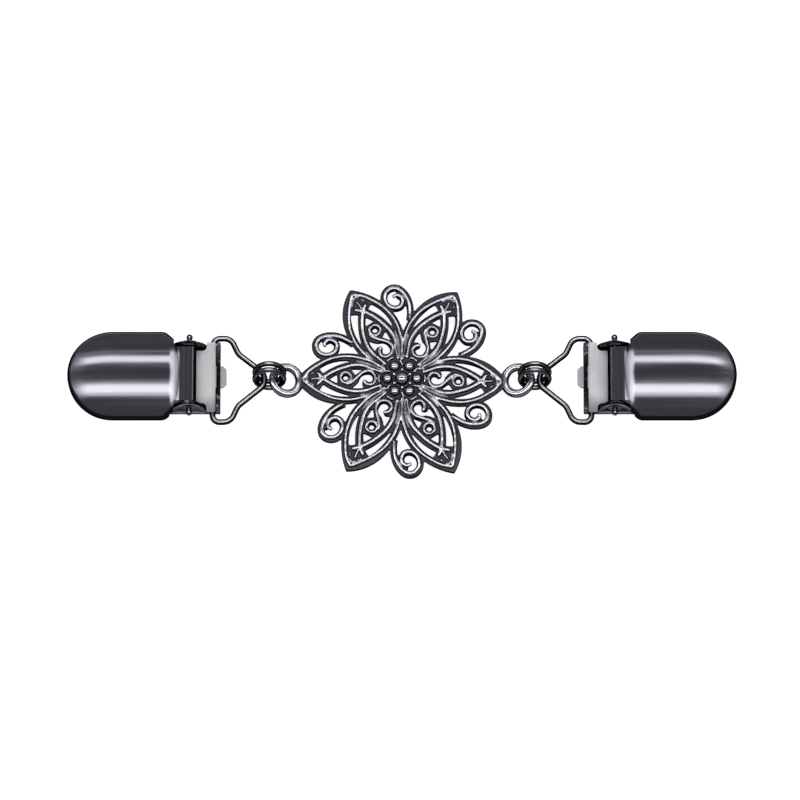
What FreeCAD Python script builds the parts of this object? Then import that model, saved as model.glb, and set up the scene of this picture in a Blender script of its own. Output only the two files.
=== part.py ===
import FreeCAD, Part
import math
import os
from FreeCAD import Vector

# Sweater clip: a pierced cast flower between two wire loops, each holding a sprung clip.
# Millimetres. X runs along the length, Y across, Z up; the part lies on the plane z = 0.
# The origin is under the centre of the flower. Every clip part is drawn for the left
# side (minus X) and mirrored for the right.

# Sheet metal of the clips
SHEET = 0.8
FIT = 0.05                     # running fit on a pin, on the radius
GAP = 0.1                      # clearance between neighbouring pieces
BEYOND = 20.0                  # how far cutting forms reach past what they cut
OVERLAP = 0.1                  # how far forms that become one body reach into each other

# The clips lie a little towards +Y of the flower's centre line.
CLIP_SHIFT_Y = 0.4

# Hinge pin
PIN_X = -42.4
PIN_Z = 4.5
PIN_RADIUS = 0.55
PIN_HALF_LENGTH = 7.7
PIN_BALL_RADIUS = 0.65

# Cover, the domed lever
COVER_TIP_CENTRE_X = -57.65    # centre of the round end, seen from above
COVER_HALF_WIDTH = 9.07
COVER_TOP = 7.4
COVER_RIM = 3.3
CROWN_RADIUS = 15.0            # across the width
DROOP_RADIUS = 28.0            # the top curves down towards the tip
DROOP_ANGLE = 30.0
EDGE_RADIUS = 1.4              # round edge between crown and skirt
COVER_REAR_X = -44.3           # where the top turns down to the neck
COVER_REAR_BEND = 1.9
BEND_TURN = 50.0               # degrees each side of the top
SHOULDER_X = -45.5             # rear edge beside the neck
SHOULDER_CHAMFER = 1.7
SHOULDER_RIM = 4.2             # the skirt stops higher above the ears
SHOULDER_RIM_X = -46.3
SHOULDER_ROUND = 1.8
NECK_HALF_WIDTH = 5.5
ROLL_RADIUS = 1.4              # round part of the neck about the pin
NOSE_RADIUS = 0.6              # cam nose that presses the jaw plate down
NOSE_REACH = 1.4               # from the pin to the centre of the nose

# Base with two ears, a rear wall and a turned-up front lip
BASE_HALF_WIDTH = 7.0
BASE_PLATE = 0.7
BASE_FRONT_X = -63.6
BASE_CORNER = 2.5
BASE_LIP_TOP = 2.0
WALL_FRONT_X = -37.05
WALL_TOP = 3.4
EAR_CENTRE_X = -42.55
EAR_HALF_LENGTH = 3.55
EAR_TOP = 6.7
EAR_LEAN = 4.3                 # degrees, towards the middle
EAR_BOSS_RADIUS = 1.4
EAR_BOSS_HEIGHT = 0.25

# Jaw plate under the neck, with a tail through the slot in the rear wall
JAW_SHEET = 0.6
JAW_REAR_Z = 2.25              # underside of the rear part
JAW_FRONT_Z = 1.75             # underside of the front part
JAW_STEP_START_X = -41.2
JAW_STEP_END_X = -41.8
JAW_HALF_WIDTH = 5.4
JAW_REAR_HALF_WIDTH = 7.15
JAW_REAR_FRONT_X = -39.0
JAW_REAR_END_X = -37.2
JAW_NOTCH_ROUND = 0.9
JAW_LIP_Z = 0.85
TAIL_HALF_WIDTH = 2.2
TAIL_END_X = -35.0
TAIL_CHAMFER = 0.7
TOOTH_PITCH = 1.5
TOOTH_DEPTH = 0.9
TEETH_EACH_SIDE = 3

# Wire loop: corner points of the wire's centre line and its radius at each corner
LOOP_WIRE_RADIUS = 0.6
LOOP_BAR_X = -37.8
LOOP_BAR_Z = 1.5
LOOP_CORNERS = [
    (LOOP_BAR_X, 8.6, 1.45),
    (-34.2, 8.6, 2.2),
    (-32.7, 5.35, 2.5),
    (-25.97, 0.0, 2.37),
]
LOOP_RISE = 4.5                # degrees, towards the flower

# Jump rings: two side by side, leaning
RING_WIRE_RADIUS = 0.525
RING_RADIUS = 2.89
RING_X = -26.47
RING_LEAN = 66.0
RING_CROSSING_Z = 2.3          # height of the wires that the rings hold
RING_CROSSING_Y = 0.64         # half the distance between the rings there
RING_SHIFT_Y = 0.2             # how far the pair sits towards +Y

# Flower: a shallow dome resting on its petal tips
PETALS = 6
FLOWER_RADIUS = 21.65          # tips of the longer petals
LONGER = 1.021                 # scale of the four petals beside the end rings' petals
DOME_RISE = 1.8
PLATE = 1.2
RIDGE_RISE = 0.4
RIDGE_WIDTH = 0.5
HUB_RADIUS = 4.6
CENTRE_BEAD_RADIUS = 1.3
BEAD_RADIUS = 1.0
BEAD_CIRCLE = 2.93
END_RING_X = 23.1
END_RING_RADIUS = 2.75
END_RING_WIRE = 0.85
END_RING_LIFT = 1.7            # outer side of the end ring above its inner side

X_AXIS = Vector(1, 0, 0)
Y_AXIS = Vector(0, 1, 0)
Z_AXIS = Vector(0, 0, 1)
ORIGIN = Vector(0, 0, 0)


def box(x0, x1, y0, y1, z0, z1):
    return Part.makeBox(x1 - x0, y1 - y0, z1 - z0, Vector(x0, y0, z0))


def rod(x, z, radius, half_length):
    """A round bar along Y, centred on y = 0."""
    return Part.makeCylinder(radius, 2 * half_length, Vector(x, -half_length, z), Y_AXIS)


def rounded_wire(corners):
    """A closed wire through (x, y, radius) corners, with tangent arcs at the corners."""
    edges = []
    count = len(corners)
    starts = []
    ends = []
    middles = []
    for i in range(count):
        here = Vector(corners[i][0], corners[i][1], 0)
        before = Vector(corners[i - 1][0], corners[i - 1][1], 0)
        after = Vector(corners[(i + 1) % count][0], corners[(i + 1) % count][1], 0)
        radius = corners[i][2]
        to_before = (before - here).normalize()
        to_after = (after - here).normalize()
        half_angle = to_before.getAngle(to_after) / 2
        reach = radius / math.tan(half_angle)
        inward = (to_before + to_after).normalize()
        starts.append(here + to_before * reach)
        ends.append(here + to_after * reach)
        middles.append(here + inward * (radius / math.sin(half_angle) - radius))
    for i in range(count):
        if corners[i][2] > 0:
            edges.append(Part.Arc(starts[i], middles[i], ends[i]).toShape())
        following = starts[(i + 1) % count]
        if (following - ends[i]).Length > 0.001:
            edges.append(Part.LineSegment(ends[i], following).toShape())
    return Part.Wire(edges)


def mirrored_in_y(corners):
    """The corners and their mirror images below, in one round order."""
    lower = []
    for x, y, radius in reversed(corners):
        if abs(y) > 0.001:
            lower.append((x, -y, radius))
    return corners + lower


def plate(corners, z0, z1):
    """A flat plate with rounded corners, between two heights."""
    face = Part.Face(rounded_wire(corners))
    return face.extrude(Vector(0, 0, z1 - z0)).translated(Vector(0, 0, z0))


def side_profile(points, half_width):
    """A polygon of (x, z) points, extruded along Y to both sides."""
    corners = [Vector(x, -half_width, z) for x, z in points]
    face = Part.Face(Part.makePolygon(corners + corners[:1]))
    return face.extrude(Vector(0, 2 * half_width, 0))


def crown_form(inset):
    """Solid under the crown: a barrel along X that droops towards the tip."""
    crown = CROWN_RADIUS - inset
    centre_z = COVER_TOP - CROWN_RADIUS
    half = COVER_HALF_WIDTH + 1.0
    side_z = centre_z + math.sqrt(crown ** 2 - half ** 2)
    top = Vector(0, 0, centre_z + crown)
    left = Vector(0, -half, side_z)
    right = Vector(0, half, side_z)
    left_foot = Vector(0, -half, -2.7)
    right_foot = Vector(0, half, -2.7)
    section = Part.Face(Part.Wire([
        Part.Arc(left, top, right).toShape(),
        Part.makePolygon([right, right_foot, left_foot, left]),
    ]))
    length = COVER_REAR_X - COVER_TIP_CENTRE_X + 1.0
    barrel = section.extrude(Vector(length, 0, 0))
    droop_centre = Vector(0, 0, COVER_TOP - DROOP_RADIUS)
    droop = section.revolve(droop_centre, Y_AXIS, -DROOP_ANGLE)
    form = barrel.fuse(droop).removeSplitter()
    return form.translated(Vector(COVER_TIP_CENTRE_X, 0, 0))


def cover_plan(inset):
    """The cover seen from above: a round end, straight sides, cut shoulders and a narrower neck."""
    half = COVER_HALF_WIDTH - inset
    shoulder_x = SHOULDER_X - inset
    neck = NECK_HALF_WIDTH - inset
    cut_sum = SHOULDER_X + COVER_HALF_WIDTH - SHOULDER_CHAMFER - inset * math.sqrt(2)
    return [
        (COVER_TIP_CENTRE_X - half, half, half),
        (cut_sum - half, half, SHOULDER_ROUND - inset),
        (shoulder_x, cut_sum - shoulder_x, 0),
        (shoulder_x, neck, 0),
        (COVER_REAR_X - inset, neck, 0),
    ]


def cover_form(inset):
    """The cover's outer form, or with an inset the hollow inside it."""
    rim_z = COVER_RIM - (1.0 if inset else 0.0)
    column = plate(mirrored_in_y(cover_plan(inset)), rim_z, COVER_TOP + 1)
    form = rounded_rim(crown_form(inset).common(column), inset)
    # Seen from the side, the top turns down over a round bend at the rear, and the bend
    # follows the crown.
    bend = COVER_REAR_BEND - inset
    top_z = COVER_TOP - inset
    rear_x = COVER_REAR_X - inset
    half_turn = bend * (1 - math.sqrt(0.5))
    bend_top = Vector(rear_x - bend, 0, top_z + 0.5)
    bend_start = Vector(rear_x - bend, 0, top_z)
    bend_middle = Vector(rear_x - half_turn, 0, top_z - half_turn)
    bend_end = Vector(rear_x, 0, top_z - bend)
    corner = Vector(rear_x + 1, 0, top_z + 0.5)
    waste = Part.Face(Part.Wire([
        Part.Arc(bend_start, bend_middle, bend_end).toShape(),
        Part.makePolygon([bend_end, Vector(rear_x + 1, 0, top_z - bend), corner, bend_top, bend_start]),
    ]))
    crown_axis = Vector(0, 0, COVER_TOP - CROWN_RADIUS)
    waste.rotate(crown_axis, X_AXIS, -BEND_TURN)
    waste = waste.revolve(crown_axis, X_AXIS, 2 * BEND_TURN)
    return form.cut(waste)


def rounded_rim(form, inset):
    """The edge of the crown rounded over, from one shoulder round the tip to the other."""
    edges = []
    for edge in form.Edges:
        high = edge.BoundBox.ZMin > COVER_RIM + 0.5
        ahead = edge.BoundBox.XMax < SHOULDER_X - inset + 0.01
        across = edge.BoundBox.XLength < 0.01
        if high and ahead and not across:
            edges.append(edge)
    return form.makeFillet(EDGE_RADIUS - inset * 0.9, edges)


def cover():
    """Domed sheet lever with a rolled neck about the pin and a cam nose below it."""
    shell = cover_form(0).cut(cover_form(SHEET))
    roll_top = PIN_Z + ROLL_RADIUS
    neck = NECK_HALF_WIDTH
    inner_rear_x = COVER_REAR_X - SHEET
    strap = box(inner_rear_x, PIN_X, -neck, neck, roll_top - SHEET, roll_top)
    # The rear wall ends where the strap starts.
    shell = shell.cut(box(inner_rear_x - 0.01, COVER_REAR_X + 1, -neck, neck, 0, roll_top - SHEET))
    shell = shell.cut(box(SHOULDER_RIM_X, COVER_REAR_X + 1, -BEYOND, BEYOND, 0, SHOULDER_RIM))
    roll = rod(PIN_X, PIN_Z, ROLL_RADIUS, neck)
    nose_z = PIN_Z - NOSE_REACH
    nose = rod(PIN_X, nose_z, NOSE_RADIUS, neck)
    nose_web = box(PIN_X - NOSE_RADIUS, PIN_X + NOSE_RADIUS, -neck, neck, nose_z, PIN_Z)
    body = shell.fuse([strap, roll, nose, nose_web])
    bore = rod(PIN_X, PIN_Z, PIN_RADIUS + FIT, neck + 1)
    return body.cut(bore).removeSplitter()


def ear():
    """An arched ear on the +Y side, leaning in a little, with a boss round the pin hole."""
    arch = Part.Ellipse(Vector(0, 0, 0), EAR_TOP, EAR_HALF_LENGTH)
    rim = Part.ArcOfEllipse(arch, -math.pi / 2, math.pi / 2).toShape()
    low = Vector(0, -EAR_HALF_LENGTH, 0)
    high = Vector(0, EAR_HALF_LENGTH, 0)
    outline = Part.Face(Part.Wire([rim, Part.LineSegment(high, low).toShape()]))
    outline.rotate(ORIGIN, Y_AXIS, -90)
    outline.rotate(ORIGIN, Z_AXIS, 90)
    blade = outline.extrude(Vector(0, -SHEET, 0))
    boss_start = Vector(PIN_X - EAR_CENTRE_X, -OVERLAP, PIN_Z)
    boss = Part.makeCylinder(EAR_BOSS_RADIUS, EAR_BOSS_HEIGHT + OVERLAP, boss_start, Y_AXIS)
    blade = blade.fuse(boss)
    blade.rotate(ORIGIN, X_AXIS, EAR_LEAN)
    blade.translate(Vector(EAR_CENTRE_X, BASE_HALF_WIDTH, 0))
    above_floor = box(EAR_CENTRE_X - BEYOND, EAR_CENTRE_X + BEYOND, 0, BEYOND, 0, BEYOND)
    return blade.common(above_floor)


def teeth_cutter(x0, x1, edge_z, points_up):
    """V-shaped notches along a lip's edge."""
    direction = -1 if points_up else 1
    notches = []
    for i in range(-TEETH_EACH_SIDE, TEETH_EACH_SIDE + 1):
        y = i * TOOTH_PITCH
        half = TOOTH_PITCH / 2 - 0.05
        corners = [
            Vector(x0, y - half, edge_z - 0.01 * direction),
            Vector(x0, y + half, edge_z - 0.01 * direction),
            Vector(x0, y, edge_z + TOOTH_DEPTH * direction),
        ]
        face = Part.Face(Part.makePolygon(corners + corners[:1]))
        notches.append(face.extrude(Vector(x1 - x0, 0, 0)))
    return Part.makeCompound(notches)


def base():
    """Pressed sheet base: floor, two ears, slotted rear wall, toothed front lip."""
    wall_rear_x = WALL_FRONT_X + SHEET
    floor = plate(mirrored_in_y([
        (BASE_FRONT_X, BASE_HALF_WIDTH, BASE_CORNER),
        (wall_rear_x, BASE_HALF_WIDTH, 0),
    ]), 0, BASE_PLATE)
    lip_half = BASE_HALF_WIDTH - BASE_CORNER
    lip = box(BASE_FRONT_X, BASE_FRONT_X + BASE_PLATE, -lip_half, lip_half, 0, BASE_LIP_TOP)
    lip = lip.cut(teeth_cutter(BASE_FRONT_X - 1, BASE_FRONT_X + 2, BASE_LIP_TOP, True))
    wall = box(WALL_FRONT_X, wall_rear_x, -BASE_HALF_WIDTH, BASE_HALF_WIDTH, 0, WALL_TOP)
    slot_half = TAIL_HALF_WIDTH + GAP
    slot = box(WALL_FRONT_X - 1, wall_rear_x + 1, -slot_half, slot_half,
               JAW_REAR_Z - GAP, JAW_REAR_Z + JAW_SHEET + GAP)
    right_ear = ear()
    left_ear = right_ear.mirror(ORIGIN, Y_AXIS)
    body = floor.fuse([lip, wall, right_ear, left_ear]).cut(slot)
    hole = rod(PIN_X, PIN_Z, PIN_RADIUS + FIT / 2, PIN_HALF_LENGTH + 1)
    return body.cut(hole).removeSplitter()


def pin():
    """Plain pin with small round ends."""
    shaft = rod(PIN_X, PIN_Z, PIN_RADIUS, PIN_HALF_LENGTH)
    ends = []
    for side in (-1, 1):
        ends.append(Part.makeSphere(PIN_BALL_RADIUS, Vector(PIN_X, side * PIN_HALF_LENGTH, PIN_Z)))
    return shaft.fuse(ends)


def jaw():
    """Pressure plate: wide rear part, step under the neck, toothed front lip, tail tab."""
    front_x = BASE_FRONT_X + BASE_PLATE + 0.2
    rear_top = JAW_REAR_Z + JAW_SHEET
    front_top = JAW_FRONT_Z + JAW_SHEET
    profile = side_profile([
        (front_x, JAW_LIP_Z),
        (front_x + JAW_SHEET, JAW_LIP_Z),
        (front_x + JAW_SHEET, JAW_FRONT_Z),
        (JAW_STEP_END_X, JAW_FRONT_Z),
        (JAW_STEP_START_X, JAW_REAR_Z),
        (TAIL_END_X, JAW_REAR_Z),
        (TAIL_END_X, rear_top),
        (JAW_STEP_START_X, rear_top),
        (JAW_STEP_END_X, front_top),
        (front_x, front_top),
    ], JAW_REAR_HALF_WIDTH)
    outline = plate(mirrored_in_y([
        (front_x, JAW_HALF_WIDTH, 1.2),
        (JAW_REAR_FRONT_X, JAW_HALF_WIDTH, JAW_NOTCH_ROUND),
        (JAW_REAR_FRONT_X, JAW_REAR_HALF_WIDTH, 0.3),
        (JAW_REAR_END_X, JAW_REAR_HALF_WIDTH, 0.3),
        (JAW_REAR_END_X, TAIL_HALF_WIDTH, 0.1),
        (TAIL_END_X - TAIL_CHAMFER, TAIL_HALF_WIDTH, 0),
        (TAIL_END_X, TAIL_HALF_WIDTH - TAIL_CHAMFER, 0),
    ]), 0, WALL_TOP)
    body = profile.common(outline)
    return body.cut(teeth_cutter(front_x - 1, front_x + 2, JAW_LIP_Z, False)).removeSplitter()


def wire_loop():
    """Bent wire: a straight bar in the base, bowed legs and a round nose for the jump rings."""
    path = rounded_wire(mirrored_in_y(LOOP_CORNERS))
    edges = path.Edges[1:] + path.Edges[:1]
    halves = []
    half_count = len(edges) // 2
    for group in (edges[:half_count], edges[half_count:]):
        start_edge = group[0]
        at = start_edge.valueAt(start_edge.FirstParameter)
        along = start_edge.tangentAt(start_edge.FirstParameter)
        section = Part.Wire(Part.Circle(at, along, LOOP_WIRE_RADIUS).toShape())
        halves.append(Part.Wire(group).makePipeShell([section], True, False, 1))
    body = halves[0].fuse(halves[1]).removeSplitter()
    body.translate(Vector(0, 0, LOOP_BAR_Z))
    body.rotate(Vector(LOOP_BAR_X, 0, LOOP_BAR_Z), Y_AXIS, -LOOP_RISE)
    return body


def jump_ring(side):
    """A closed ring of round wire, standing on its lower side and leaning towards +Y."""
    lean = math.radians(RING_LEAN)
    centre_z = RING_RADIUS * math.sin(lean) + RING_WIRE_RADIUS
    shift = (centre_z - RING_CROSSING_Z) / math.tan(lean)
    centre = Vector(RING_X, side * RING_CROSSING_Y + RING_SHIFT_Y + shift, centre_z)
    normal = Vector(0, -math.sin(lean), math.cos(lean))
    return Part.makeTorus(RING_RADIUS, RING_WIRE_RADIUS, centre, normal)


def arcs(points):
    """Edges through the points, each arc taking three of them: start, middle, end."""
    edges = []
    for i in range(0, len(points) - 2, 2):
        a, b, c = [Vector(x, y, 0) for x, y in points[i:i + 3]]
        edges.append(Part.Arc(a, b, c).toShape())
    return edges


def closed_face(points):
    """A face bounded by arcs, closed with a straight line if its ends differ."""
    edges = arcs(points)
    first = Vector(points[0][0], points[0][1], 0)
    last = Vector(points[-1][0], points[-1][1], 0)
    if (last - first).Length > 0.001:
        edges.append(Part.LineSegment(last, first).toShape())
    return Part.Face(Part.Wire(edges))


def polygon_face(points):
    corners = [Vector(x, y, 0) for x, y in points]
    return Part.Face(Part.makePolygon(corners + corners[:1]))


def band(points, width):
    """A flat band of even width along a smooth curve through the points."""
    curve = Part.BSplineCurve()
    curve.interpolate([Vector(x, y, 0) for x, y in points])
    steps = 2 * (len(points) - 1)
    sides = ([], [])
    for i in range(steps + 1):
        t = curve.FirstParameter + (curve.LastParameter - curve.FirstParameter) * i / steps
        at = curve.value(t)
        along = curve.tangent(t)[0]
        across = Vector(-along.y, along.x, 0) * (width / 2)
        sides[0].append(at + across)
        sides[1].append(at - across)
    left = Part.BSplineCurve()
    left.interpolate(sides[0])
    right = Part.BSplineCurve()
    right.interpolate(sides[1])
    return Part.Face(Part.Wire([
        left.toShape(),
        Part.LineSegment(sides[0][-1], sides[1][-1]).toShape(),
        right.toShape(),
        Part.LineSegment(sides[1][0], sides[0][0]).toShape(),
    ]))


# One petal, pointing along +X. Outline and gaps are arcs through start, middle and end points.
PETAL_OUTLINE = [
    (3.0, 2.4), (9.0, 4.75), (14.5, 4.6), (18.5, 2.7), (21.1, -0.4),
    (18.75, -2.75), (16.0, -4.4), (11.0, -5.45), (5.0, -3.7), (3.6, -3.1), (2.6, -2.2),
]
UPPER_SLOT = [(15.8, 0.8), (12.7, 2.5), (9.5, 3.4), (13.3, 3.25), (16.5, 2.05)]
LOWER_SLOT = [(15.8, -1.4), (13.1, -2.9), (9.8, -3.75), (13.4, -3.8), (16.5, -2.45)]
TIP_TRIANGLE = [(12.9, 0.8), (14.6, -0.2), (13.0, -1.2)]
LOW_TRIANGLE = [(9.3, -0.9), (7.8, -2.1), (10.2, -2.15)]
HOOK_GAP = [
    (7.4, 1.65), (8.8, 1.85), (10.1, 1.7), (9.2, 1.05), (8.55, 0.3), (7.95, -0.75), (6.9, -1.05),
    (5.85, -0.3), (6.3, 0.6), (6.85, 0.45), (7.2, 0.15), (7.85, 0.5), (7.4, 1.65),
]
EYE = (11.25, -0.36, 0.5)
# The scroll beside the petal grows out of the next petal and curls in on itself.
SCROLL_STEM = [
    (9.7, -7.3), (12.5, -8.95), (15.5, -9.15), (17.0, -8.3), (17.35, -6.9), (16.8, -5.7), (15.4, -5.0),
]
SCROLL_CURL = [
    (16.2, -5.3), (14.8, -5.05), (13.4, -5.8), (13.0, -7.1), (13.6, -8.0), (14.6, -8.3), (15.45, -7.6),
]
STEM_WIDTH = 1.4
CURL_WIDTH = 1.2
RIDGE_LINES = [
    [(6.0, 3.1), (9.4, 4.15), (13.75, 3.85), (16.6, 2.5), (19.9, -0.15)],
    [(4.0, -2.5), (8.75, -4.5), (12.5, -4.7), (16.4, -3.3), (19.9, -0.25)],
    [(4.6, 1.4), (8.75, 2.6), (12.5, 1.75), (16.6, -1.45)],
    [(4.0, -1.4), (9.0, -2.95), (13.1, -1.95), (16.6, 1.3)],
    [
        (12.4, 0.0), (11.3, 0.75), (10.0, 0.5), (8.5, -0.65),
        (7.2, -1.65), (5.6, -0.9), (5.6, 0.8), (7.1, 1.05),
    ],
    [(12.5, -0.1), (12.1, -1.2), (11.0, -1.5), (10.1, -0.7)],
    [(17.2, -0.3), (18.2, -0.2), (18.9, -0.25)],
    SCROLL_STEM + SCROLL_CURL[2:],
]


def flower_prism(face, height):
    return face.extrude(Vector(0, 0, height))


def petal_solids(height):
    """One petal with its gaps cut through, and the scroll beside it."""
    leaf = closed_face(PETAL_OUTLINE)
    gaps = [closed_face(UPPER_SLOT), closed_face(LOWER_SLOT), polygon_face(TIP_TRIANGLE)]
    gaps += [polygon_face(LOW_TRIANGLE), closed_face(HOOK_GAP)]
    solid = flower_prism(leaf, height)
    for gap in gaps:
        solid = solid.cut(flower_prism(gap, height))
    eye = Part.makeCylinder(EYE[2], height, Vector(EYE[0], EYE[1], 0))
    solid = solid.cut(eye)
    stem = flower_prism(band(SCROLL_STEM, STEM_WIDTH), height)
    curl = flower_prism(band(SCROLL_CURL, CURL_WIDTH), height)
    return solid, stem.fuse(curl)


def around(solid, longer=1.0):
    """Six copies about the vertical axis; all but the two along X are scaled."""
    copies = []
    for i in range(PETALS):
        copy = solid.copy()
        if i % (PETALS // 2):
            copy.scale(longer, ORIGIN)
        copy.rotate(ORIGIN, Z_AXIS, 360.0 / PETALS * i)
        copies.append(copy)
    return copies


def dome_layer(flat, low, high):
    """The part of an upright prism between two heights above the dome's underside."""
    radius = (FLOWER_RADIUS ** 2 + DOME_RISE ** 2) / (2 * DOME_RISE)
    centre = Vector(0, 0, DOME_RISE - radius)
    layer = flat.common(Part.makeSphere(radius + high, centre))
    return layer.cut(Part.makeSphere(radius + low, centre))


def end_ring(side):
    """Cast eye at the tip of the petal on one side, its outer edge a little raised."""
    tilt = math.degrees(math.asin(END_RING_LIFT / (2 * END_RING_RADIUS)))
    centre = Vector(side * END_RING_X, 0, END_RING_WIRE + END_RING_LIFT / 2)
    ring = Part.makeTorus(END_RING_RADIUS, END_RING_WIRE, centre)
    ring.rotate(centre, Y_AXIS, -side * tilt)
    return ring


def flower():
    """The cast flower: pierced petals, scrolls, raised lines, beads and two end rings."""
    top = DOME_RISE + PLATE
    height = top + 2
    leaf, scroll = petal_solids(height)
    hub = Part.makeCylinder(HUB_RADIUS, height)
    flat = hub.fuse(around(leaf, LONGER) + around(scroll, LONGER)).removeSplitter()
    plate_layer = dome_layer(flat, 0, PLATE)
    ridges = []
    for line in RIDGE_LINES:
        ridges.append(flower_prism(band(line, RIDGE_WIDTH), height))
    one = ridges[0].fuse(ridges[1:])
    ridge_copies = around(one, LONGER)
    lines = ridge_copies[0].fuse(ridge_copies[1:])
    ridge_layer = dome_layer(lines, PLATE / 2, PLATE + RIDGE_RISE)
    beads = [Part.makeSphere(CENTRE_BEAD_RADIUS, Vector(0, 0, top))]
    beads += around(Part.makeSphere(BEAD_RADIUS, Vector(BEAD_CIRCLE, 0, top - 0.1)))
    body = plate_layer.fuse(ridge_layer)
    body = body.fuse(beads)
    return body.fuse([end_ring(-1), end_ring(1)])


def main():
    os.makedirs("parts", exist_ok=True)
    left_parts = {
        "cover": cover(),
        "base": base(),
        "pin": pin(),
        "jaw": jaw(),
        "loop": wire_loop(),
        "jump_ring_upper": jump_ring(1),
        "jump_ring_lower": jump_ring(-1),
    }
    for name in ("cover", "base", "pin", "jaw"):
        left_parts[name].translate(Vector(0, CLIP_SHIFT_Y, 0))
    nodes = {}
    for name, shape in left_parts.items():
        nodes["left_" + name] = shape
        nodes["right_" + name] = shape.mirror(ORIGIN, X_AXIS)
    nodes["flower"] = flower()
    for name, shape in nodes.items():
        solids = shape.Solids
        print(name, "valid", shape.isValid(), "solids", len(solids), "volume", round(shape.Volume, 2))
        solids[0].exportStep("parts/" + name + ".step")


main()
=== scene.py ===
import math
import bmesh
import bpy
from mathutils import Matrix, Vector


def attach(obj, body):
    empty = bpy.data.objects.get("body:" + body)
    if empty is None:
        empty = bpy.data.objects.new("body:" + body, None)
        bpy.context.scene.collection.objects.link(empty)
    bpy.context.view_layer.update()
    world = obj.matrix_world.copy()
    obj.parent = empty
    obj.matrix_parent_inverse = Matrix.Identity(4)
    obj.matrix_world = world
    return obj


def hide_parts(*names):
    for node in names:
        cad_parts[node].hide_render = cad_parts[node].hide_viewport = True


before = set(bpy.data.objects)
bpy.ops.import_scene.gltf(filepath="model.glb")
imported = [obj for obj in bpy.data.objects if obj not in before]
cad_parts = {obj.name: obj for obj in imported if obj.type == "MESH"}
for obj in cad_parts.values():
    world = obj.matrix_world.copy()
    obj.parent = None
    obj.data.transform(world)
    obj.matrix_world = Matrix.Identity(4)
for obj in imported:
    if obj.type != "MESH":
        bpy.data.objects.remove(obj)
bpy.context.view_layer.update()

# A sweater clip seen from above: a pierced cast flower between two sprung clips.
# Lengths are in millimetres where no comment says otherwise.
MM = 0.001

# The camera looks down from the -Y side and frames the part as the photo does.
PHOTO_SIZE = 800               # pixels, each way
PIXELS_PER_MM = 5.0
CAMERA_TILT = 14.0             # degrees from straight down
CAMERA_DISTANCE = 1.2          # metres
CAMERA_NEAR = 0.01             # metres
SENSOR_WIDTH = 36
AIM_X_PIXEL = 402.0            # photo column where the frame's origin shows
AIM_Y_PIXEL = 382.4            # photo row where it shows

# Strip lights: name, degrees from straight up towards +Y, half width in degrees, radiance.
STRIPS = [
    ("key_strip", -11.4, 5.9, 2.75),
    ("key_edge_strip", -20.0, 3.5, 1.5),
    ("far_strip", 34.2, 4.8, 2.7),
    ("thin_strip", 47.4, 0.7, 0.9),
]
STRIP_DISTANCE = 0.5           # metres
STRIP_LENGTH = 1.6             # metres
WORLD_COLOUR = (0.9, 0.92, 1.0, 1)
WORLD_STRENGTH = 0.12
FLOOR_HALF = 3.0               # metres
FLOOR_HEIGHT = -0.0002         # metres
FLOOR_COLOUR = (0.9, 0.9, 0.9, 1)
FLOOR_ROUGHNESS = 0.9
FLOOR_GLOW = 0.8

# The flower's top is part of a sphere; heights are above the plate's top.
DOME_RISE = 1.8
PLATE = 1.2
FLOWER_RADIUS = 21.65
DOME_RADIUS = (FLOWER_RADIUS ** 2 + DOME_RISE ** 2) / (2 * DOME_RISE) + PLATE
DOME_CENTRE_Z = DOME_RISE + PLATE - DOME_RADIUS
PETALS = 6
LONGER = 1.021                 # scale of the four petals that carry no end ring
VOXEL = 0.125
FLOWER_TRIANGLES = 190000
SMOOTHING = 0.5
SMOOTHING_ROUNDS = 3

# The solid's own square lines are pressed flat between these distances from the hub.
FLAT_FROM = 4.7
FLAT_TO = 19.3
FLAT_ABOVE = 0.02

# Raised lines taper at their ends and narrow sideways near the hub.
CURVE_STEPS = 5
LINE_SIDES = 10
END_TAPER = (0.6, 0.85, 1.0)
HUB_REACH = 8.0
HUB_NARROW = 0.5
BALL_HEIGHT = 0.1

# Mending and rounding of the solids' copies.
MERGE_DISTANCE = 0.002
FLAT_ANGLE = 1                 # degrees
SHARP_ANGLE = 35               # degrees
BASE_ROUNDING = 0.12
JAW_ROUNDING = 0.1

# Lines of one petal that points along +X: points, radius of the line and height of its axis.
BORDER_UPPER = [
    (4.2, 2.5), (5.8, 3.1), (7.6, 3.7), (9.4, 4.1), (11.25, 4.2), (13.75, 3.8),
    (16.25, 2.6), (18.1, 1.35), (19.9, -0.15),
]
BORDER_LOWER = [
    (3.6, -2.2), (6.25, -3.65), (8.75, -4.4), (10.6, -4.7), (12.5, -4.65),
    (15.0, -4.0), (17.5, -2.6), (18.75, -1.65), (19.9, -0.15),
]
LENS_UPPER = [
    (4.0, 1.2), (5.6, 1.85), (6.9, 2.3), (8.75, 2.55), (10.6, 2.35), (12.5, 1.7),
    (14.4, 0.7), (15.75, -0.3), (16.9, -1.6),
]
LENS_LOWER = [
    (3.7, -1.2), (5.6, -2.0), (7.5, -2.7), (9.4, -2.9), (11.25, -2.5), (13.1, -1.9),
    (15.0, -0.9), (15.9, -0.15), (17.0, 1.1),
]
ROOT_LINE_LOWER = [(3.8, -1.75), (5.6, -2.65), (7.6, -3.4), (9.4, -3.75)]
ROOT_LINE_UPPER = [(3.9, 1.9), (5.4, 2.55), (7.0, 3.1), (8.6, 3.35)]
EYE_RING = [
    (12.35, -0.36), (11.8, 0.6), (10.7, 0.6), (10.15, -0.36), (10.7, -1.3), (11.8, -1.3),
    (12.35, -0.36),
]
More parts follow.
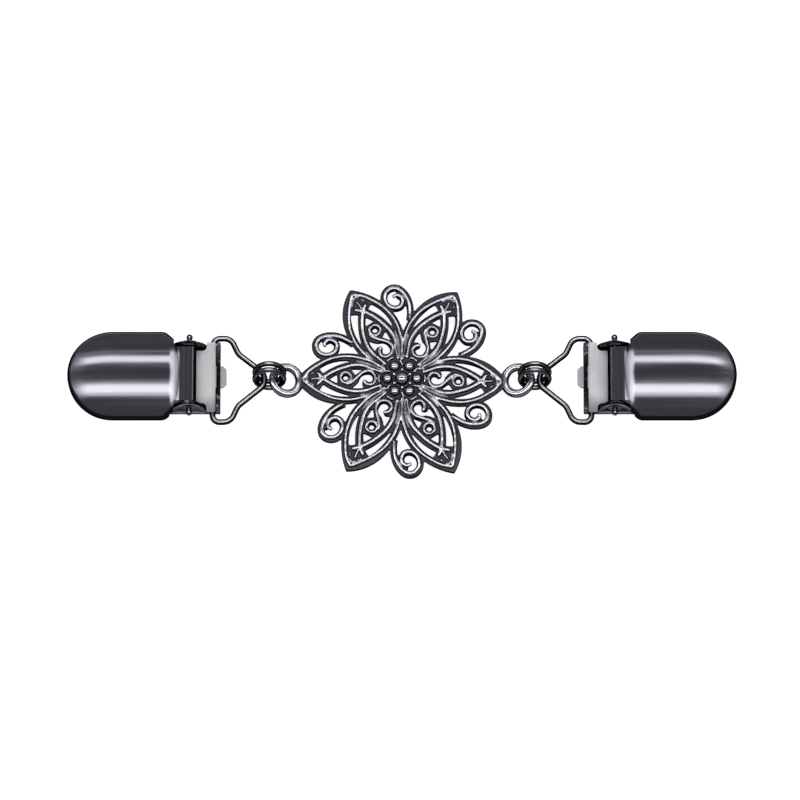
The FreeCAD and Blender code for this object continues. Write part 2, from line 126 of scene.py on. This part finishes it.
HOOK = [
    (11.2, 1.0), (10.2, 0.75), (9.4, 0.1), (8.5, -0.75), (7.75, -1.4), (6.8, -1.65),
    (6.0, -1.4), (5.4, -0.6), (5.35, 0.35), (5.75, 1.0), (6.5, 1.2), (7.1, 1.0), (7.45, 0.6),
]
SCROLL = [
    (9.9, -7.5), (12.5, -8.85), (15.0, -9.05), (16.6, -8.4), (17.15, -7.1), (16.6, -5.8),
    (15.4, -5.15), (14.0, -5.35), (13.15, -6.15), (13.0, -7.15), (13.6, -8.0), (14.6, -8.25),
    (15.35, -7.8), (15.5, -7.2),
]
TIP_STEM = [(16.35, -0.3), (17.0, -0.3), (17.9, -0.25)]
TIP_ARC = [(18.5, 0.35), (18.95, 0.1), (19.05, -0.35), (18.7, -0.95)]
HUB_ARC = [(4.45, 0.8), (4.6, 0.0), (4.45, -0.85)]
HUB_FORK = [(2.25, 1.25), (2.7, 1.65), (3.0, 2.3)]
PETAL_LINES = [
    (BORDER_UPPER, 0.32, 0.14),
    (BORDER_LOWER, 0.32, 0.14),
    (LENS_UPPER, 0.42, 0.04),
    (LENS_LOWER, 0.42, 0.04),
    (ROOT_LINE_LOWER, 0.2, 0.12),
    (ROOT_LINE_UPPER, 0.2, 0.12),
    (EYE_RING, 0.32, 0.1),
    (HOOK, 0.36, 0.08),
    (SCROLL, 0.4, 0.06),
    (TIP_STEM, 0.24, 0.15),
    (TIP_ARC, 0.2, 0.15),
    (HUB_ARC, 0.28, 0.2),
    (HUB_FORK, 0.28, 0.2),
]
# Small balls on one petal: x, y, radius.
PETAL_BALLS = [
    (7.5, 0.5, 0.4), (17.95, -0.2, 0.3), (17.8, 0.95, 0.3), (18.2, 0.6, 0.25),
    (17.8, -1.45, 0.3), (18.2, -1.15, 0.22), (15.45, -7.15, 0.42),
    (1.55, 0.9, 0.4), (3.55, 2.05, 0.42), (4.35, 1.5, 0.36), (4.35, -1.5, 0.36),
]

# Noise of each metal: its scale along X, Y and Z.
CROWN_STREAKS = (25, 900, 100)
NECK_STREAKS = (2500, 30, 100)
WIRE_GRAIN = (500, 500, 500)
PLATE_GRAIN = (700, 1500, 700)
STEEL_STREAKS = (3000, 120, 100)
STEEL_CLOUDS = (350, 200, 100)
CAST_GRAIN = (900, 900, 900)
FINE_DETAIL = 5.0
CLOUD_DETAIL = 2.0

# The pairs below say where a mask is empty and where it is full.
# How level a face lies, from 0 for an upright face to 1 for a level one.
COVER_LEVEL = (0.7, 0.86)
WIRE_LEVEL = (0.945, 0.99)
PLATE_LEVEL = (0.2, 0.6)
STEEL_LEVEL = (0.35, 0.8)
CAST_LEVEL = (0.45, 0.85)
# Noise, from 0 to 1.
NOISE_MIDDLE = (0.3, 0.7)
NOISE_GLINTS = (0.58, 0.72)
NOISE_CLOUDS = (0.3, 0.65)
NOISE_STAINS = (0.4, 0.75)
# Distances from the flower's centre along X, in metres.
CROWN_FROM = (0.0439, 0.0443)
BEND_FROM = (0.0442, 0.0445)
BEND_TO = (0.0465, 0.0457)
TIP_FROM = (0.0622, 0.0662)
TAB_FROM = (0.0366, 0.0364)
# Places along Y, in metres: the two sides of the cover's bend and the jaw's shaded end.
BEND_UPPER_SIDE = (0.0058, 0.0042)
BEND_LOWER_SIDE = (-0.0066, -0.005)
JAW_SHADE = (-0.0072, -0.0025)
# Height of the base's rear wall, in metres, which alone carries glints.
GLINT_HEIGHT = (0.0026, 0.003)
# Fine grooves run out between the petals: their distances from the hub, in metres.
GROOVES_FROM = (0.0046, 0.005)
GROOVES_TO = (0.0085, 0.0065)
GROOVE_COUNT = 60.0
# Cosines of the angle round the hub, for the gaps between petals and for one groove.
PETAL_GAP = (0.1, -0.3)
GROOVE_WIDTH = (0.3, -0.3)
# Heights of the cast relief above the plate's top.
RELIEF_TOP = 1.0
LINES_FROM = (0.1, 0.4)
BEADS_FROM = (0.6, 0.8)

# Roughness of each metal, as the results of an empty and a full mask.
COVER_ROUGHNESS = (0.12, 0.2)
WIRE_ROUGHNESS = (0.22, 0.3)
PLATE_ROUGHNESS = (0.16, 0.3)
STEEL_ROUGHNESS = (0.4, 0.55)
CAST_ROUGHNESS = (0.42, 0.27)
BEADS_SMOOTHER = (0.0, -0.1)
TIP_ROUGHER = 0.16
BEND_ROUGHER = 0.3
CLOUD_STRENGTH = (0.6, 1.4)
STAIN_STRENGTH = (0.0, 0.2)
STEEL_METALLIC = 0.2
EDGE_TINT = (0.1, 0.1, 0.1, 1)
BUMP_STRENGTH = 0.15
BUMP_DEPTH = 0.00005           # metres

# The colour sockets of Blender's Mix node.
MIX_A = 6
MIX_B = 7
MIX_RESULT = 2


def grey(value, tint=0.12):
    """A slightly blue grey."""
    return (value, value, value * (1 + tint), 1)


# Colours of the metals.
# Painted shade: the cover's upright rims are painted near black.
COVER_FLANK_SHADE = grey(0.01)
COVER_DARK_STREAK = grey(0.27)
COVER_LIGHT_STREAK = grey(0.37)
# Painted shade: the cover's tip is painted darker, so its highlights fade.
COVER_TIP_SHADE = grey(0.13)
# Painted highlight: the bend at the cover's neck is painted near white.
COVER_BEND_HIGHLIGHT = grey(0.9)
WIRE_BODY = grey(0.02)
RING_BODY = grey(0.07)
# Painted highlight along the tops of the wires, made brighter and dimmer by noise.
WIRE_HIGHLIGHT_DIM = grey(0.65)
WIRE_HIGHLIGHT_BRIGHT = grey(0.95)
# Painted light by how a face is turned: upright faces grey as a painted reflection, level tops
# near black as painted shade.
PLATE_FLANK_REFLECTION = grey(0.2)
PLATE_TOP_SHADE = grey(0.03)
PLATE_GLINT = grey(0.3)
# Painted shade: the steel's upright edges are painted near black.
STEEL_EDGE_SHADE = grey(0.04)
STEEL_DARK = grey(0.78, 0.04)
STEEL_LIGHT = grey(1.0, 0.0)
STEEL_SHADE = grey(0.35, 0.08)
STEEL_TAB = grey(0.6, 0.04)
# Painted shade: upright sides of the cast lines and the hole walls are painted near black.
CAST_FLANK_SHADE = grey(0.015)
CAST_GROOVE = grey(0.08)
CAST_STAIN = grey(0.05)
# Colour of the cast metal by height, where 1 is the top of the relief: dark patina low down,
# and a painted highlight near white on the raised lines and beads.
CAST_BY_HEIGHT = [
    (0.0, grey(0.07)),
    (0.2, grey(0.08)),
    (0.33, grey(0.6)),
    (0.42, grey(0.97)),
    (0.58, grey(0.8)),
    (0.7, grey(0.8)),
]


def link(obj):
    """The object, once it is in the scene."""
    bpy.context.scene.collection.objects.link(obj)
    return obj


def smooth_path(points):
    """Points along a smooth curve that passes through the given ones."""
    path = []
    last = len(points) - 1
    for i in range(last):
        before = Vector(points[max(i - 1, 0)])
        start = Vector(points[i])
        end = Vector(points[i + 1])
        after = Vector(points[min(i + 2, last)])
        for k in range(CURVE_STEPS):
            t = k / CURVE_STEPS
            pull = 2 * before - 5 * start + 4 * end - after
            twist = 3 * start - before - 3 * end + after
            path.append((2 * start + (end - before) * t + pull * t * t + twist * t ** 3) / 2)
    path.append(Vector(points[last]))
    return path


def on_dome(x, y, height):
    """The point at a height above the flower's domed plate."""
    radius = DOME_RADIUS + height
    return Vector((x, y, DOME_CENTRE_Z + math.sqrt(radius ** 2 - x * x - y * y)))


def on_petal(points, index):
    """A petal's points, moved from the first petal to another one."""
    size = LONGER if index % (PETALS // 2) else 1.0
    spin = Matrix.Rotation(2 * math.pi * index / PETALS, 2) * size
    return [spin @ Vector(p) for p in points]


def line_ring(bm, path, index, radius):
    """One ring of a raised line, around one point of its path."""
    at = path[index]
    last = len(path) - 1
    along = (path[min(index + 1, last)] - path[max(index - 1, 0)]).normalized()
    across = along.cross(Vector((0, 0, 1))).normalized()
    up = across.cross(along)
    from_end = min(index, last - index)
    tall = radius * END_TAPER[min(from_end, len(END_TAPER) - 1)]
    spread = min(1.0, at.xy.length / HUB_REACH)
    wide = tall * (HUB_NARROW + (1 - HUB_NARROW) * spread)
    ring = []
    for k in range(LINE_SIDES):
        angle = 2 * math.pi * k / LINE_SIDES
        offset = across * math.cos(angle) * wide + up * math.sin(angle) * tall
        ring.append(bm.verts.new((at + offset) * MM))
    return ring


def add_line(bm, points, radius, height):
    """A round raised line that follows the dome, with tapered ends."""
    path = [on_dome(p.x, p.y, height) for p in smooth_path(points)]
    rings = [line_ring(bm, path, index, radius) for index in range(len(path))]
    for first, second in zip(rings, rings[1:]):
        for k in range(LINE_SIDES):
            after = (k + 1) % LINE_SIDES
            bm.faces.new((first[k], first[after], second[after], second[k]))
    bm.faces.new(list(reversed(rings[0])))
    bm.faces.new(rings[-1])


def add_ball(bm, x, y, radius):
    """A small ball that sits on the dome."""
    place = Matrix.Translation(on_dome(x, y, BALL_HEIGHT) * MM)
    bmesh.ops.create_icosphere(bm, subdivisions=2, radius=radius * MM, matrix=place)


def add_relief(bm):
    """The raised lines and balls of all petals."""
    for i in range(PETALS):
        for points, radius, height in PETAL_LINES:
            add_line(bm, on_petal(points, i), radius, height)
        for x, y, radius in PETAL_BALLS:
            place = on_petal([(x, y)], i)[0]
            add_ball(bm, place.x, place.y, radius)


def flatten_lines(bm):
    """Press the square raised lines of the solid down to the plate's top."""
    centre = Vector((0, 0, DOME_CENTRE_Z * MM))
    for vert in bm.verts:
        in_reach = FLAT_FROM * MM < vert.co.xy.length < FLAT_TO * MM
        away = vert.co - centre
        if in_reach and away.length > (DOME_RADIUS + FLAT_ABOVE) * MM:
            vert.co = centre + away.normalized() * DOME_RADIUS * MM


def copy_of_solid(node):
    """A solid's mesh to work on, with its doubled points merged."""
    bm = bmesh.new()
    bm.from_mesh(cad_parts[node].data)
    bmesh.ops.remove_doubles(bm, verts=bm.verts, dist=MERGE_DISTANCE * MM)
    return bm


def new_piece(name, bm):
    """A new object in the scene that holds the finished mesh."""
    mesh = bpy.data.meshes.new(name)
    bm.to_mesh(mesh)
    bm.free()
    return link(bpy.data.objects.new(name, mesh))


def apply_modifiers(obj):
    """Turn the object's modifiers into mesh."""
    graph = bpy.context.evaluated_depsgraph_get()
    mesh = bpy.data.meshes.new_from_object(obj.evaluated_get(graph))
    obj.modifiers.clear()
    old = obj.data
    obj.data = mesh
    bpy.data.meshes.remove(old)


def fuse(piece):
    """Make one body of the plate, lines and balls, with softened edges."""
    remesh = piece.modifiers.new("one_body", "REMESH")
    remesh.mode = "VOXEL"
    remesh.voxel_size = VOXEL * MM
    soften = piece.modifiers.new("cast_edges", "SMOOTH")
    soften.factor = SMOOTHING
    soften.iterations = SMOOTHING_ROUNDS
    apply_modifiers(piece)
    thin = piece.modifiers.new("thin", "DECIMATE")
    thin.ratio = min(1.0, FLOWER_TRIANGLES / (2.0 * len(piece.data.polygons)))
    apply_modifiers(piece)


def add_flower(material):
    """The cast flower in one body, with rounded relief, beads and granules."""
    bm = copy_of_solid("flower")
    flatten_lines(bm)
    add_relief(bm)
    piece = new_piece("flower_cast", bm)
    fuse(piece)
    piece.data.shade_smooth()
    piece.data.materials.clear()
    piece.data.materials.append(material)
    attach(piece, "root")
    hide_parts("flower")


def round_edges(bm, width):
    """Round the sharp edges of a mesh whose flat faces are first joined."""
    flat = math.radians(FLAT_ANGLE)
    bmesh.ops.dissolve_limit(bm, angle_limit=flat, verts=bm.verts, edges=bm.edges)
    sharp = []
    for edge in bm.edges:
        if len(edge.link_faces) == 2 and edge.calc_face_angle() > math.radians(SHARP_ANGLE):
            sharp.append(edge)
    bmesh.ops.bevel(
        bm, geom=sharp, offset=width * MM, segments=2, profile=0.5, affect="EDGES",
        clamp_overlap=True,
    )
    bmesh.ops.triangulate(bm, faces=bm.faces)


def add_softened(node, body, material, width):
    """A copy of a solid with its sharp edges rounded, in the solid's place."""
    bm = copy_of_solid(node)
    round_edges(bm, width)
    piece = new_piece(node + "_soft", bm)
    piece.data.shade_smooth()
    piece.data.set_sharp_from_angle(angle=math.radians(SHARP_ANGLE))
    piece.data.materials.append(material)
    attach(piece, body)
    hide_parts(node)


class Shader:
    """A material under construction: its nodes, and short ways to add more."""

    def __init__(self, name):
        self.material = bpy.data.materials.new(name)
        self.material.use_nodes = True
        self.nodes = self.material.node_tree.nodes
        self.links = self.material.node_tree.links
        self.nodes.clear()
        output = self.nodes.new("ShaderNodeOutputMaterial")
        self.surface = self.nodes.new("ShaderNodeBsdfPrincipled")
        self.links.new(self.surface.outputs["BSDF"], output.inputs["Surface"])
        self.coords = self.nodes.new("ShaderNodeTexCoord")
        self.place = self.coords.outputs["Object"]

    def put(self, value, socket):
        """Link another node's output to a socket, or set the socket's own value."""
        if isinstance(value, bpy.types.NodeSocket):
            self.links.new(value, socket)
        else:
            socket.default_value = value

    def parts(self, vector):
        """The X, Y and Z of a vector."""
        node = self.nodes.new("ShaderNodeSeparateXYZ")
        self.put(vector, node.inputs[0])
        return node.outputs

    def mask(self, value, span, result=(0.0, 1.0), way="SMOOTHSTEP"):
        """A step across a span of values, smooth unless the way says otherwise."""
        node = self.nodes.new("ShaderNodeMapRange")
        node.interpolation_type = way
        self.put(value, node.inputs["Value"])
        node.inputs["From Min"].default_value = span[0]
        node.inputs["From Max"].default_value = span[1]
        node.inputs["To Min"].default_value = result[0]
        node.inputs["To Max"].default_value = result[1]
        return node.outputs["Result"]

    def calc(self, operation, *values):
        """One step of arithmetic, by its name in the Math node."""
        node = self.nodes.new("ShaderNodeMath")
        node.operation = operation
        for value, socket in zip(values, node.inputs):
            self.put(value, socket)
        return node.outputs[0]

    def both(self, first, second):
        """One mask times another: full only where both are."""
        return self.calc("MULTIPLY", first, second)

    def level(self):
        """1 where a face points straight up or down, 0 where it is upright."""
        return self.calc("ABSOLUTE", self.parts(self.coords.outputs["Normal"])[2])

    def height_on_dome(self):
        """Height above the flower's plate, from 0 to 1 at the top of the relief."""
        node = self.nodes.new("ShaderNodeVectorMath")
        node.operation = "DISTANCE"
        self.put(self.place, node.inputs[0])
        node.inputs[1].default_value = (0, 0, DOME_CENTRE_Z * MM)
        span = (DOME_RADIUS * MM, (DOME_RADIUS + RELIEF_TOP) * MM)
        return self.mask(node.outputs["Value"], span, way="LINEAR")

    def noise(self, scale, detail=FINE_DETAIL):
        """Noise from 0 to 1, with a scale of its own along X, Y and Z."""
        mapping = self.nodes.new("ShaderNodeMapping")
        mapping.inputs["Scale"].default_value = scale
        self.put(self.place, mapping.inputs["Vector"])
        node = self.nodes.new("ShaderNodeTexNoise")
        node.inputs["Scale"].default_value = 1.0
        node.inputs["Detail"].default_value = detail
        self.links.new(mapping.outputs["Vector"], node.inputs["Vector"])
        return node.outputs["Fac"]

    def mix(self, factor, empty, full):
        """A blend from one colour to another."""
        node = self.nodes.new("ShaderNodeMix")
        node.data_type = "RGBA"
        self.put(factor, node.inputs["Factor"])
        self.put(empty, node.inputs[MIX_A])
        self.put(full, node.inputs[MIX_B])
        return node.outputs[MIX_RESULT]

    def ramp(self, value, stops):
        """A colour read off a row of stops: position, colour."""
        node = self.nodes.new("ShaderNodeValToRGB")
        elements = node.color_ramp.elements
        while len(elements) < len(stops):
            elements.new(0.5)
        for element, (position, colour) in zip(elements, stops):
            element.position = position
            element.color = colour
        self.put(value, node.inputs["Fac"])
        return node.outputs["Color"]

    def bump(self, height, strength, distance):
        """A fine unevenness of the surface."""
        node = self.nodes.new("ShaderNodeBump")
        node.inputs["Strength"].default_value = strength
        node.inputs["Distance"].default_value = distance
        self.put(height, node.inputs["Height"])
        self.links.new(node.outputs["Normal"], self.surface.inputs["Normal"])

    def finish(self, colour, roughness, metallic=1.0):
        """The finished metal, whose glancing reflections are dulled."""
        self.surface.inputs["Metallic"].default_value = metallic
        self.surface.inputs["Specular Tint"].default_value = EDGE_TINT
        self.put(colour, self.surface.inputs["Base Color"])
        self.put(roughness, self.surface.inputs["Roughness"])
        return self.material


def cover_metal():
    """Polished gunmetal with fine streaks, a painted highlight on the bend at the neck, a tip
    darkened with painted shade, and rims painted near black as shade.
    """
    s = Shader("polished_gunmetal")
    x, y, _ = s.parts(s.place)
    out = s.calc("ABSOLUTE", x)
    on_crown = s.mask(out, CROWN_FROM)
    streak = s.mix(on_crown, s.noise(NECK_STREAKS), s.noise(CROWN_STREAKS))
    along = s.both(s.mask(out, BEND_FROM), s.mask(out, BEND_TO))
    across = s.both(s.mask(y, BEND_UPPER_SIDE), s.mask(y, BEND_LOWER_SIDE))
    bend = s.both(along, across)
    tip = s.mask(out, TIP_FROM)
    streaky = s.mix(streak, COVER_DARK_STREAK, COVER_LIGHT_STREAK)
    # Painted highlight on the bend and painted shade on the tip, over the streaks.
    top = s.mix(bend, s.mix(tip, streaky, COVER_TIP_SHADE), COVER_BEND_HIGHLIGHT)
    on_top = s.calc("MAXIMUM", s.mask(s.level(), COVER_LEVEL), bend)
    # Painted shade: faces that do not lie level get the near-black rim colour.
    colour = s.mix(on_top, COVER_FLANK_SHADE, top)
    polished = s.mask(streak, NOISE_MIDDLE, COVER_ROUGHNESS)
    faded = s.calc("MULTIPLY_ADD", tip, TIP_ROUGHER, polished)
    return s.finish(colour, s.calc("MULTIPLY_ADD", bend, BEND_ROUGHER, faded))


def wire_metal(name, body):
    """Dark wire with a painted highlight: a thin bright line along its top, where the face
    lies level.
    """
    s = Shader(name)
    wear = s.noise(WIRE_GRAIN)
    # Painted highlight on the wire's level top.
    top_highlight = s.mix(wear, WIRE_HIGHLIGHT_DIM, WIRE_HIGHLIGHT_BRIGHT)
    colour = s.mix(s.mask(s.level(), WIRE_LEVEL), body, top_highlight)
    return s.finish(colour, s.mask(wear, NOISE_MIDDLE, WIRE_ROUGHNESS))


def plate_metal():
    """Dark plated sheet: painted shade near black on top, painted glints on the rear wall, and
    upright faces painted grey as a reflection of the floor.
    """
    s = Shader("dark_plate")
    wear = s.noise(PLATE_GRAIN)
    z = s.parts(s.place)[2]
    glints = s.both(s.mask(wear, NOISE_GLINTS), s.mask(z, GLINT_HEIGHT))
    top = s.mix(glints, PLATE_TOP_SHADE, PLATE_GLINT)
    # Painted reflection on upright faces, painted shade on level ones.
    colour = s.mix(s.mask(s.level(), PLATE_LEVEL), PLATE_FLANK_REFLECTION, top)
    return s.finish(colour, s.mask(wear, NOISE_MIDDLE, PLATE_ROUGHNESS))


def steel():
    """Bright satin steel, with painted shade towards its -Y end, darker on its tab, and
    upright edges painted near black as shade.
    """
    s = Shader("bright_steel")
    x, y, _ = s.parts(s.place)
    brushed = s.noise(STEEL_STREAKS)
    clouds = s.mask(s.noise(STEEL_CLOUDS, CLOUD_DETAIL), NOISE_CLOUDS, CLOUD_STRENGTH)
    bright = s.mix(s.calc("MULTIPLY", brushed, clouds), STEEL_DARK, STEEL_LIGHT)
    plate = s.mix(s.mask(y, JAW_SHADE), STEEL_SHADE, bright)
    tab = s.mask(s.calc("ABSOLUTE", x), TAB_FROM)
    top = s.mix(tab, plate, STEEL_TAB)
    colour = s.mix(s.mask(s.level(), STEEL_LEVEL), STEEL_EDGE_SHADE, top)
    roughness = s.mask(brushed, NOISE_MIDDLE, STEEL_ROUGHNESS)
    return s.finish(colour, roughness, metallic=STEEL_METALLIC)


def root_grooves(s):
    """A mask of the fine grooves that run out from the hub between the petals."""
    x, y, _ = s.parts(s.place)
    angle = s.calc("ARCTAN2", y, x)
    out = s.calc("SQRT", s.calc("MULTIPLY_ADD", x, x, s.calc("MULTIPLY", y, y)))
    petals = s.calc("COSINE", s.calc("MULTIPLY", angle, float(PETALS)))
    spokes = s.calc("COSINE", s.calc("MULTIPLY", angle, GROOVE_COUNT))
    at_root = s.both(s.mask(out, GROOVES_TO), s.mask(out, GROOVES_FROM))
    between = s.both(at_root, s.mask(petals, PETAL_GAP))
    return s.both(between, s.mask(spokes, GROOVE_WIDTH))


def cast_metal():
    """Antique gunmetal: dark patina on the plate and in the recesses, upright sides painted
    near black as shade, and a painted highlight on the raised lines and beads.
    """
    s = Shader("cast_gunmetal")
    height = s.height_on_dome()
    cast = s.noise(CAST_GRAIN)
    # Dark patina low down and a painted highlight on the raised lines, from the colour by
    # height.
    grooved = s.mix(root_grooves(s), s.ramp(height, CAST_BY_HEIGHT), CAST_GROOVE)
    stains = s.mask(cast, NOISE_STAINS, STAIN_STRENGTH)
    toned = s.mix(stains, grooved, CAST_STAIN)
    # Painted shade on faces that do not lie level.
    colour = s.mix(s.mask(s.level(), CAST_LEVEL), CAST_FLANK_SHADE, toned)
    s.bump(cast, BUMP_STRENGTH, BUMP_DEPTH)
    on_lines = s.mask(height, LINES_FROM, CAST_ROUGHNESS)
    on_beads = s.mask(height, BEADS_FROM, BEADS_SMOOTHER)
    return s.finish(colour, s.calc("ADD", on_lines, on_beads))


def floor_material():
    """A pale floor that glows a little, so that it renders white."""
    s = Shader("pale_floor")
    s.surface.inputs["Base Color"].default_value = FLOOR_COLOUR
    s.surface.inputs["Roughness"].default_value = FLOOR_ROUGHNESS
    s.surface.inputs["Emission Color"].default_value = (1, 1, 1, 1)
    s.surface.inputs["Emission Strength"].default_value = FLOOR_GLOW
    return s.material


def assign(node, material):
    """Give one of the solids its metal."""
    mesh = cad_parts[node].data
    mesh.materials.clear()
    mesh.materials.append(material)


def add_camera():
    """The camera at the photo's angle and scale."""
    data = bpy.data.cameras.new("camera")
    camera = link(bpy.data.objects.new("camera", data))
    tilt = math.radians(CAMERA_TILT)
    width = PHOTO_SIZE / PIXELS_PER_MM * MM
    data.sensor_width = SENSOR_WIDTH
    data.lens = SENSOR_WIDTH * CAMERA_DISTANCE / width
    data.clip_start = CAMERA_NEAR
    away = Vector((0, -math.sin(tilt), math.cos(tilt)))
    up = Vector((0, math.cos(tilt), math.sin(tilt)))
    centre = PHOTO_SIZE / 2
    aim = up * ((AIM_Y_PIXEL - centre) / PIXELS_PER_MM * MM)
    aim += Vector((1, 0, 0)) * ((centre - AIM_X_PIXEL) / PIXELS_PER_MM * MM)
    camera.location = aim + away * CAMERA_DISTANCE
    camera.rotation_euler = (tilt, 0, 0)
    bpy.context.scene.camera = camera


def strip_light(name, direction, half_angle, radiance):
    """A soft strip along X, at an angle in degrees from straight up towards +Y."""
    width = 2 * STRIP_DISTANCE * math.tan(math.radians(half_angle))
    data = bpy.data.lights.new(name, "AREA")
    data.shape = "RECTANGLE"
    data.size = STRIP_LENGTH
    data.size_y = width
    data.energy = radiance * math.pi * STRIP_LENGTH * width
    light = link(bpy.data.objects.new(name, data))
    angle = math.radians(direction)
    across = math.sin(angle) * STRIP_DISTANCE
    above = math.cos(angle) * STRIP_DISTANCE
    light.location = (0, across, above)
    light.rotation_euler = (-angle, 0, 0)


def add_floor():
    """A plain pale floor, just under the part."""
    half = FLOOR_HALF
    corners = [(-half, -half, 0), (half, -half, 0), (half, half, 0), (-half, half, 0)]
    mesh = bpy.data.meshes.new("floor")
    mesh.from_pydata(corners, [], [(0, 1, 2, 3)])
    mesh.materials.append(floor_material())
    floor = link(bpy.data.objects.new("floor", mesh))
    floor.location.z = FLOOR_HEIGHT


def add_world():
    """Faint even light from all round."""
    world = bpy.data.worlds.new("studio")
    bpy.context.scene.world = world
    world.use_nodes = True
    background = world.node_tree.nodes["Background"]
    background.inputs["Color"].default_value = WORLD_COLOUR
    background.inputs["Strength"].default_value = WORLD_STRENGTH


def dress_part():
    """Give the two clips their metals and rounded sheets, and the flower its relief."""
    gunmetal = cover_metal()
    plate = plate_metal()
    wire = wire_metal("dark_wire", WIRE_BODY)
    ring_wire = wire_metal("ring_wire", RING_BODY)
    bright = steel()
    add_flower(cast_metal())
    for side in ("left_", "right_"):
        assign(side + "cover", gunmetal)
        assign(side + "loop", wire)
        for node in ("pin", "jump_ring_upper", "jump_ring_lower"):
            assign(side + node, ring_wire)
        add_softened(side + "base", side + "clip", plate, BASE_ROUNDING)
        add_softened(side + "jaw", side + "presser", bright, JAW_ROUNDING)


def add_stage():
    """Camera, floor and light."""
    add_camera()
    add_floor()
    add_world()
    for name, direction, half_angle, radiance in STRIPS:
        strip_light(name, direction, half_angle, radiance)
    bpy.context.scene.view_settings.view_transform = "Standard"


dress_part()
add_stage()
